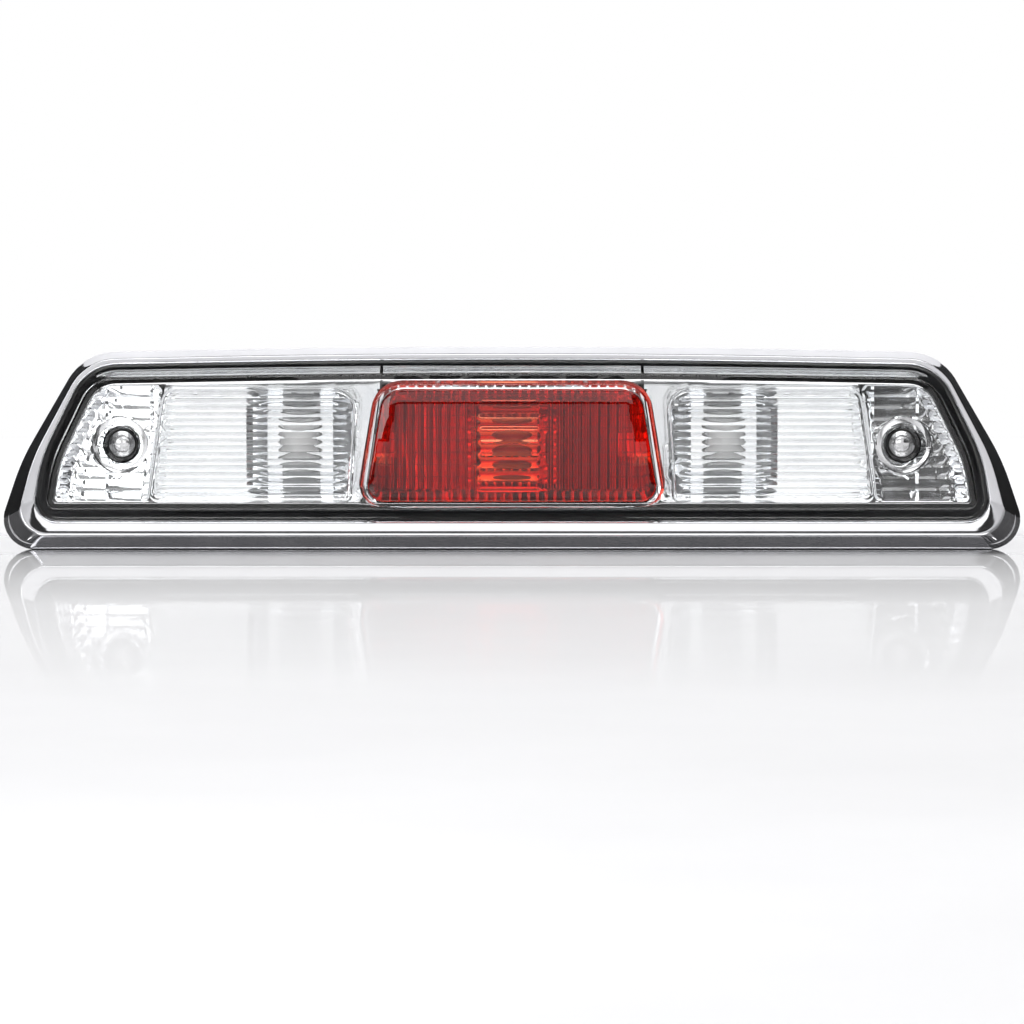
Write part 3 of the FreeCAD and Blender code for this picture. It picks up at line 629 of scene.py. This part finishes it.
def grain(tree, shader, scale, roughness, bump=0.0, stretch=(1, 1, 1), colours=None):
    """Procedural grain: uneven roughness, and where asked a fine bump and a shift of colour."""
    place = tree.nodes.new("ShaderNodeTexCoord")
    mapping = tree.nodes.new("ShaderNodeMapping")
    mapping.inputs["Scale"].default_value = stretch
    noise = tree.nodes.new("ShaderNodeTexNoise")
    noise.inputs["Scale"].default_value = scale
    noise.inputs["Detail"].default_value = 4.0
    tree.links.new(place.outputs["Object"], mapping.inputs["Vector"])
    tree.links.new(mapping.outputs["Vector"], noise.inputs["Vector"])
    spread = tree.nodes.new("ShaderNodeMapRange")
    spread.inputs["To Min"].default_value = roughness[0]
    spread.inputs["To Max"].default_value = roughness[1]
    tree.links.new(noise.outputs["Fac"], spread.inputs["Value"])
    tree.links.new(spread.outputs["Result"], shader.inputs["Roughness"])
    if colours:
        ramp = tree.nodes.new("ShaderNodeValToRGB")
        ramp.color_ramp.elements[0].position = 0.35
        ramp.color_ramp.elements[1].position = 0.65
        for element, colour in zip(ramp.color_ramp.elements, colours):
            element.color = (*colour, 1)
        tree.links.new(noise.outputs["Fac"], ramp.inputs["Fac"])
        tree.links.new(ramp.outputs["Color"], shader.inputs["Base Color"])
    if bump:
        raise_up = tree.nodes.new("ShaderNodeBump")
        raise_up.inputs["Strength"].default_value = bump
        raise_up.inputs["Distance"].default_value = 0.0002
        tree.links.new(noise.outputs["Fac"], raise_up.inputs["Height"])
        tree.links.new(raise_up.outputs["Normal"], shader.inputs["Normal"])


def plain_material(name, colours, roughness, scale, bump=0.0, metallic=0.0, stretch=(1, 1, 1)):
    """Opaque material with a grain, whose colour and roughness each lie between two values."""
    material, tree, shader = nodes_of(name)
    shader.inputs["Metallic"].default_value = metallic
    grain(tree, shader, scale, roughness, bump, stretch, colours)
    return material


def clear_material(name, colours, roughness, ior, shine=0.5):
    """Transparent material. Shine is the specular level, 0.5 for the plain reflection of its index."""
    material, tree, shader = nodes_of(name)
    shader.inputs["Transmission Weight"].default_value = 1.0
    shader.inputs["Specular IOR Level"].default_value = shine
    shader.inputs["IOR"].default_value = ior
    grain(tree, shader, 40.0, roughness, colours=colours)
    return material


def red_material():
    """Red acrylic with a painted highlight: lighter red in the middle bars, striped along their thin parts, and in
    a spot beside each edge.
    """
    material = clear_material("red_acrylic", RED_DEEP, (0.0, 0.01), 1.49, 0.10)
    tree = material.node_tree
    shader = tree.nodes["Principled BSDF"]

    def maths(kind, *values):
        """Result of one maths node, whose inputs are sockets or numbers."""
        node = tree.nodes.new("ShaderNodeMath")
        node.operation = kind
        node.use_clamp = kind == "MULTIPLY"
        for socket, value in zip(node.inputs, values):
            if hasattr(value, "links"):
                tree.links.new(value, socket)
            else:
                socket.default_value = value
        return node.outputs["Value"]

    def near(value, middle, half, soft):
        """1 well within half of the middle, 0 beyond it, and a soft step between."""
        off = maths("ABSOLUTE", maths("SUBTRACT", value, middle * MM))
        return maths("MULTIPLY", maths("SUBTRACT", half * MM, off), 1 / (soft * MM))

    place = tree.nodes.new("ShaderNodeTexCoord")
    split = tree.nodes.new("ShaderNodeSeparateXYZ")
    tree.links.new(place.outputs["Object"], split.inputs["Vector"])
    x, z = split.outputs["X"], split.outputs["Z"]
    # Painted highlight: lighter red in stripes along the bars' thin parts, and in a spot beside each edge
    phase = maths("COSINE", maths("MULTIPLY_ADD", z, 2 * math.pi / (RED_BAR_PITCH * MM),
                                  -2 * math.pi * RED_BAR_START / RED_BAR_PITCH))
    thin = maths("MULTIPLY", maths("ADD", phase, 0.9), 0.9)
    bars = maths("MULTIPLY", near(x, *RED_LIT_BARS_X), near(z, *RED_LIT_BARS_Z))
    bars = maths("MULTIPLY", bars, thin)
    lit_spots = maths("MULTIPLY", near(maths("ABSOLUTE", x), *RED_LIT_SPOT_X), near(z, *RED_LIT_SPOT_Z))
    painted_light_mix = tree.nodes.new("ShaderNodeMix")
    painted_light_mix.data_type = "RGBA"
    painted_light_mix.inputs["B"].default_value = (*RED_PAINTED_LIGHT, 1)
    deep = shader.inputs["Base Color"].links[0].from_socket
    tree.links.new(maths("MAXIMUM", bars, lit_spots), painted_light_mix.inputs["Factor"])
    tree.links.new(deep, painted_light_mix.inputs["A"])
    tree.links.new(painted_light_mix.outputs["Result"], shader.inputs["Base Color"])
    return material


def frosted_material(name, colours, roughness, clearness):
    """Partly transparent, whitish glass."""
    material, tree, shader = nodes_of(name)
    shader.inputs["Transmission Weight"].default_value = clearness
    grain(tree, shader, 60.0, roughness, colours=colours)
    return material


def dress(node, material):
    """Puts a material on a CAD node."""
    piece = frame["nodes"][node]
    piece.data.materials.clear()
    piece.data.materials.append(material)
    return piece


def finish_piece(piece, material, body, slot, *nodes):
    """A visual piece with its material, on its body, in place of its CAD nodes."""
    piece.data.materials.append(material)
    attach(piece, body)
    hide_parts(*nodes)
    return piece


CHROME = plain_material("bright_chrome", [(0.60, 0.60, 0.62), (0.64, 0.64, 0.66)],
                        (0.03, 0.05), 60, metallic=1.0)
PLATING = plain_material("reflector_plating", [(0.82, 0.83, 0.85), (0.88, 0.89, 0.90)], (0.05, 0.10), 80,
                         metallic=1.0)
CLEAR = clear_material("clear_acrylic", [(0.97, 0.98, 0.98), (0.99, 0.99, 0.99)], (0.0, 0.01), 1.49, 0.18)
CLEAR_WALL = clear_material("clear_acrylic_edge", [(0.96, 0.97, 0.97), (0.98, 0.98, 0.98)],
                            (0.0, 0.01), 1.49, 0.7)
RED = red_material()
GLASS = frosted_material("bulb_glass", [(0.95, 0.95, 0.95), (0.99, 0.99, 0.99)], (0.2, 0.3), 0.15)
SHELL = plain_material("housing_plastic", [(0.030, 0.030, 0.033), (0.045, 0.045, 0.048)],
                       (0.45, 0.6), 300, 0.25)
FOAM = plain_material("gasket_foam", [(0.035, 0.035, 0.037), (0.075, 0.075, 0.08)], (0.85, 0.95), 900, 0.9)
RUBBER = plain_material("black_rubber", [(0.02, 0.02, 0.02), (0.035, 0.035, 0.035)], (0.6, 0.75), 200, 0.2)
SILICONE = plain_material("seal_rubber", [(0.40, 0.09, 0.035), (0.48, 0.12, 0.05)], (0.5, 0.62), 200, 0.15)
STEEL = plain_material("screw_steel", [(0.72, 0.72, 0.73), (0.80, 0.80, 0.81)],
                       (0.12, 0.22), 150, metallic=1.0)
ZINC = plain_material("sleeve_zinc", [(0.60, 0.57, 0.46), (0.68, 0.64, 0.52)], (0.3, 0.4), 150, metallic=1.0)
BRASS = plain_material("contact_brass", [(0.72, 0.55, 0.28), (0.80, 0.63, 0.34)],
                       (0.22, 0.34), 120, metallic=1.0)
TUNGSTEN = plain_material("filament_metal", [(0.42, 0.42, 0.44), (0.55, 0.55, 0.57)],
                          (0.3, 0.4), 200, metallic=1.0)
HOLDER = plain_material("holder_plastic", [(0.62, 0.62, 0.60), (0.70, 0.70, 0.68)], (0.4, 0.55), 260, 0.2)
CLIP = plain_material("clip_plastic", [(0.66, 0.65, 0.60), (0.74, 0.73, 0.69)], (0.4, 0.5), 220, 0.1)
SLEEVING = plain_material("lead_sleeving", [(0.018, 0.018, 0.018), (0.045, 0.045, 0.045)],
                          (0.45, 0.6), 700, 0.5)

finish_piece(make_lens(), CLEAR, LAMP, "clear_lens", "lens").data.materials.append(CLEAR_WALL)
finish_piece(make_red_lens(), RED, LAMP, "red_lens", "brake_lens")
finish_piece(make_bezel(), CHROME, LAMP, "chrome_trim", "bezel")
for side, node in ((-1, "end_reflector_left"), (1, "end_reflector_right")):
    finish_piece(make_end_reflector(side), PLATING, LAMP, "reflector_plating", node)
finish_piece(make_brake_reflector(), PLATING, LAMP, "reflector_plating", "brake_reflector")
for node in ("cargo_reflector_left", "cargo_reflector_right"):
    dress(node, PLATING)
for node, material in (("housing", SHELL), ("lens_seal", RUBBER), ("mounting_screws", STEEL),
                       ("sealing_washers", RUBBER), ("screw_sleeves", ZINC), ("connector_header", SHELL),
                       ("header_terminals", BRASS), ("harness_clips", CLIP), ("vent_cap", RUBBER),
                       ("brake_lead", SLEEVING), ("cargo_lead_left", SLEEVING),
                       ("cargo_lead_right", SLEEVING)):
    dress(node, material)
dress("gasket", FOAM)
for lamp in ("brake", "cargo_left", "cargo_right"):
    dress(lamp + "_holder", HOLDER)
    dress(lamp + "_holder_seal", SILICONE)
    dress(lamp + "_bulb", GLASS)
    dress(lamp + "_filament", TUNGSTEN)
    dress(lamp + "_contacts", BRASS)


def add_plane(name, corners, material, seen=False):
    """A stage panel through four corners in millimetres. Unless seen, it only shows in reflections."""
    data = bpy.data.meshes.new(name)
    data.from_pydata([Vector(c) * MM for c in corners], [], [(0, 1, 2, 3)])
    data.materials.append(material)
    panel = bpy.data.objects.new(name, data)
    bpy.context.scene.collection.objects.link(panel)
    panel.visible_camera = seen
    return panel


def add_softbox(name, place, aim, size, power):
    """Large soft area light aimed at a point, in millimetres."""
    data = bpy.data.lights.new(name, "AREA")
    data.shape = "RECTANGLE"
    data.size, data.size_y = size[0] * MM, size[1] * MM
    data.energy = power
    light = bpy.data.objects.new(name, data)
    light.location = Vector(place) * MM
    light.rotation_euler = (Vector(aim) - Vector(place)).to_track_quat("-Z", "Y").to_euler()
    bpy.context.scene.collection.objects.link(light)
    return light


def fill_ramp(node, stops, blue=1.0):
    """Gives a colour ramp its stops of grey, with a little more or less blue."""
    ramp = node.color_ramp
    while len(ramp.elements) < len(stops):
        ramp.elements.new(0.5)
    for element, (position, value) in zip(ramp.elements, stops):
        element.position = position
        element.color = (value, value, value * blue, 1)


def make_world():
    """Studio surroundings: bright overhead and dim below in reflections, plain white seen directly."""
    world = bpy.data.worlds.new("studio")
    world.use_nodes = True
    tree = world.node_tree
    background = tree.nodes["Background"]
    place = tree.nodes.new("ShaderNodeTexCoord")
    split = tree.nodes.new("ShaderNodeSeparateXYZ")
    up = tree.nodes.new("ShaderNodeValToRGB")
    tree.links.new(place.outputs["Generated"], split.inputs["Vector"])
    tree.links.new(split.outputs["Z"], up.inputs["Fac"])
    fill_ramp(up, SKY, 1.01)
    rays = tree.nodes.new("ShaderNodeLightPath")
    seen = tree.nodes.new("ShaderNodeMix")
    seen.data_type = "RGBA"
    seen.inputs["B"].default_value = (1, 1, 1, 1)
    tree.links.new(rays.outputs["Is Camera Ray"], seen.inputs["Factor"])
    tree.links.new(up.outputs["Color"], seen.inputs["A"])
    tree.links.new(seen.outputs["Result"], background.inputs["Color"])
    background.inputs["Strength"].default_value = 1.0
    bpy.context.scene.world = world


def make_floor_material():
    """Pale floor, glossy at the lamp and matt further out in front."""
    material, tree, shader = nodes_of("pale_floor")
    grain(tree, shader, 6, (0.85, 0.95), colours=[(0.86, 0.86, 0.87), (0.89, 0.89, 0.90)])
    gloss = tree.nodes.new("ShaderNodeBsdfGlossy")
    gloss.inputs["Roughness"].default_value = 0.02
    mix = tree.nodes.new("ShaderNodeMixShader")
    place = tree.nodes.new("ShaderNodeTexCoord")
    split = tree.nodes.new("ShaderNodeSeparateXYZ")
    fade = tree.nodes.new("ShaderNodeMapRange")
    fade.inputs["From Min"].default_value = GLOSS_END * MM
    fade.inputs["From Max"].default_value = GLOSS_BACK * MM
    falloff = tree.nodes.new("ShaderNodeValToRGB")
    fill_ramp(falloff, GLOSS)
    tree.links.new(place.outputs["Object"], split.inputs["Vector"])
    tree.links.new(split.outputs["Y"], fade.inputs["Value"])
    tree.links.new(fade.outputs["Result"], falloff.inputs["Fac"])
    tree.links.new(falloff.outputs["Color"], mix.inputs["Fac"])
    tree.links.new(shader.outputs["BSDF"], mix.inputs[1])
    tree.links.new(gloss.outputs["BSDF"], mix.inputs[2])
    tree.links.new(mix.outputs["Shader"], tree.nodes["Material Output"].inputs["Surface"])
    return material


def add_card(name, centre, half_w, low, high, turn, material):
    """Upright studio card whose face is turned by an angle from facing the camera."""
    x, y = centre
    dx, dy = half_w * math.cos(math.radians(turn)), half_w * math.sin(math.radians(turn))
    card = add_plane(name, [(x - dx, y - dy, low), (x + dx, y + dy, low), (x + dx, y + dy, high),
                            (x - dx, y - dy, high)], material)
    card.visible_shadow = False


make_world()
WALL = plain_material("pale_wall", [(0.88, 0.88, 0.89), (0.90, 0.90, 0.91)], (0.8, 0.9), 5)
FLAG = plain_material("black_flag", [(0.01, 0.01, 0.01), (0.015, 0.015, 0.015)], (0.9, 1.0), 5)
add_plane("floor", [(-STAGE_HALF, STAGE_FRONT, FLOOR_Z), (STAGE_HALF, STAGE_FRONT, FLOOR_Z),
                    (STAGE_HALF, BACKDROP_Y, FLOOR_Z), (-STAGE_HALF, BACKDROP_Y, FLOOR_Z)],
          make_floor_material(), seen=True)
add_plane("backdrop", [(-BACKDROP_HALF, BACKDROP_Y, FLOOR_Z), (BACKDROP_HALF, BACKDROP_Y, FLOOR_Z),
                       (BACKDROP_HALF, BACKDROP_Y, BACKDROP_TOP),
                       (-BACKDROP_HALF, BACKDROP_Y, BACKDROP_TOP)], WALL)
for card in CARDS:
    add_card(*card, FLAG)
for softbox in SOFTBOXES:
    add_softbox(*softbox)


def add_camera():
    """Camera in front of the lamp and slightly above it."""
    data = bpy.data.cameras.new("camera")
    tilt = math.radians(VIEW_UP)
    data.sensor_width = SENSOR_WIDTH
    data.lens = SENSOR_WIDTH * VIEW_DISTANCE / PICTURE_WIDTH
    camera = bpy.data.objects.new("camera", data)
    aim = Vector((0, 0, AIM_Z))
    place = aim + Vector((0, -math.cos(tilt), math.sin(tilt))) * VIEW_DISTANCE
    camera.location = place * MM
    camera.rotation_euler = (aim - place).to_track_quat("-Z", "Y").to_euler()
    bpy.context.scene.collection.objects.link(camera)
    bpy.context.scene.camera = camera


add_camera()
bpy.context.scene.view_settings.view_transform = "Standard"
